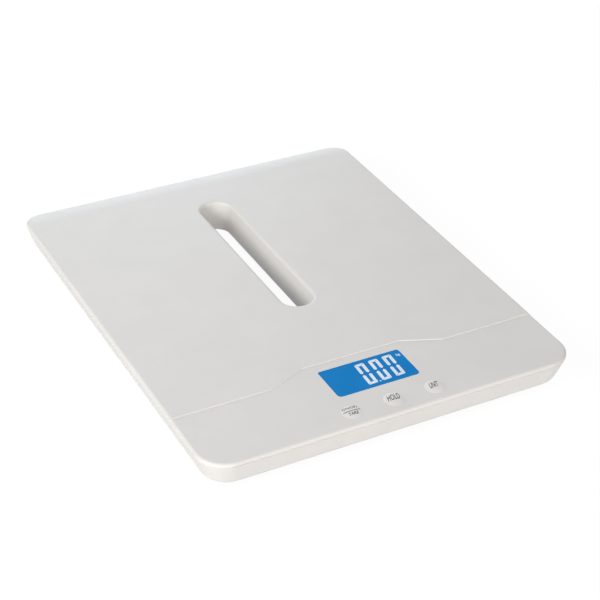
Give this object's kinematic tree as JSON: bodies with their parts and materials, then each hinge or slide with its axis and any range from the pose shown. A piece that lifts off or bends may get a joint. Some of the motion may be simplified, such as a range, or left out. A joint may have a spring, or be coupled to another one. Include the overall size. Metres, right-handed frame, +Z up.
{
  "type": "digital baby weighing scale",
  "caption": "Low flat electronic baby scale with a long grip slot, a flush blue display window, push buttons, load cell feet and a battery door underneath.",
  "frame": {"origin": "centre of the footprint, on the surface that the feet stand on", "axes": "+Z up out of the platform; +Y towards the back, away from the display; +X to the right"},
  "size_m": [0.28, 0.341, 0.0273],
  "materials": {
    "case": "fine matt texture",
    "window": "glossy, backlit blue",
    "button": "smooth satin",
    "lcd": "glossy",
    "backlight": "milky",
    "holder": "matt",
    "board": "solder mask over glass laminate",
    "blob": "glossy epoxy",
    "switch": "matt",
    "plunger": "matt",
    "header": "matt",
    "steel": "rolled sheet",
    "cradle": "matt",
    "foot": "fine matt texture",
    "pad": "matt",
    "battery": "printed sleeve",
    "contact": "nickel plated",
    "lead": "soft sheath",
    "positive_lead": "soft sheath",
    "negative_lead": "soft sheath",
    "screw": "zinc plated"
  },
  "bodies": {
    "case": {"top_cover": "case", "bottom_cover": "case", "display_window": "window", "lcd_panel": "lcd", "backlight_panel": "backlight", "lcd_holder": "holder", "main_board": "board", "controller": "blob", "sensor_header_left": "header", "sensor_header_right": "header", "tare_switch": "switch", "hold_switch": "switch", "unit_switch": "switch", "load_cell_front_left": "steel", "cell_cradle_front_left": "cradle", "cell_lead_front_left": "lead", "load_cell_front_right": "steel", "cell_cradle_front_right": "cradle", "cell_lead_front_right": "lead", "load_cell_back_left": "steel", "cell_cradle_back_left": "cradle", "cell_lead_back_left": "lead", "load_cell_back_right": "steel", "cell_cradle_back_right": "cradle", "cell_lead_back_right": "lead", "battery_1": "battery", "battery_2": "battery", "battery_3": "battery", "contact_positive": "contact", "contact_link_left": "contact", "contact_link_right": "contact", "contact_negative": "contact", "battery_lead_positive": "positive_lead", "battery_lead_negative": "negative_lead", "case_screw_front_left": "screw", "case_screw_front_right": "screw", "case_screw_back_left": "screw", "case_screw_back_right": "screw", "case_screw_middle_left": "screw", "case_screw_middle_right": "screw", "board_screw_left": "screw", "board_screw_right": "screw", "board_screw_front": "screw"},
    "tare_key": {"tare_button": "button", "tare_plunger": "plunger"},
    "hold_key": {"hold_button": "button", "hold_plunger": "plunger"},
    "unit_key": {"unit_button": "button", "unit_plunger": "plunger"},
    "foot_front_left_body": {"foot_front_left": "foot", "foot_pad_front_left": "pad"},
    "foot_front_right_body": {"foot_front_right": "foot", "foot_pad_front_right": "pad"},
    "foot_back_left_body": {"foot_back_left": "foot", "foot_pad_back_left": "pad"},
    "foot_back_right_body": {"foot_back_right": "foot", "foot_pad_back_right": "pad"},
    "battery_lid": {"battery_door": "case"}
  },
  "joints": [
    {"name": "tare_press", "type": "slide", "parent": "case", "child": "tare_key", "axis": [0, 0, -1], "range_m": [0, 0.0005], "stiffness_N_per_m": 2000, "springref_m": -0.0001},
    {"name": "hold_press", "type": "slide", "parent": "case", "child": "hold_key", "axis": [0, 0, -1], "range_m": [0, 0.0005], "stiffness_N_per_m": 2000, "springref_m": -0.0001},
    {"name": "unit_press", "type": "slide", "parent": "case", "child": "unit_key", "axis": [0, 0, -1], "range_m": [0, 0.0005], "stiffness_N_per_m": 2000, "springref_m": -0.0001},
    {"name": "foot_front_left_give", "type": "slide", "parent": "case", "child": "foot_front_left_body", "axis": [0, 0, 1], "range_m": [0, 0.0003], "stiffness_N_per_m": 2000, "springref_m": -0.002},
    {"name": "foot_front_right_give", "type": "slide", "parent": "case", "child": "foot_front_right_body", "axis": [0, 0, 1], "range_m": [0, 0.0003], "stiffness_N_per_m": 2000, "springref_m": -0.002},
    {"name": "foot_back_left_give", "type": "slide", "parent": "case", "child": "foot_back_left_body", "axis": [0, 0, 1], "range_m": [0, 0.0003], "stiffness_N_per_m": 2000, "springref_m": -0.002},
    {"name": "foot_back_right_give", "type": "slide", "parent": "case", "child": "foot_back_right_body", "axis": [0, 0, 1], "range_m": [0, 0.0003], "stiffness_N_per_m": 2000, "springref_m": -0.002},
    {"name": "battery_door_hinge", "type": "hinge", "parent": "case", "child": "battery_lid", "pos_m": [0, -0.05337, 0.0042], "axis": [1, 0, 0], "range_deg": [0, 80]}
  ]
}
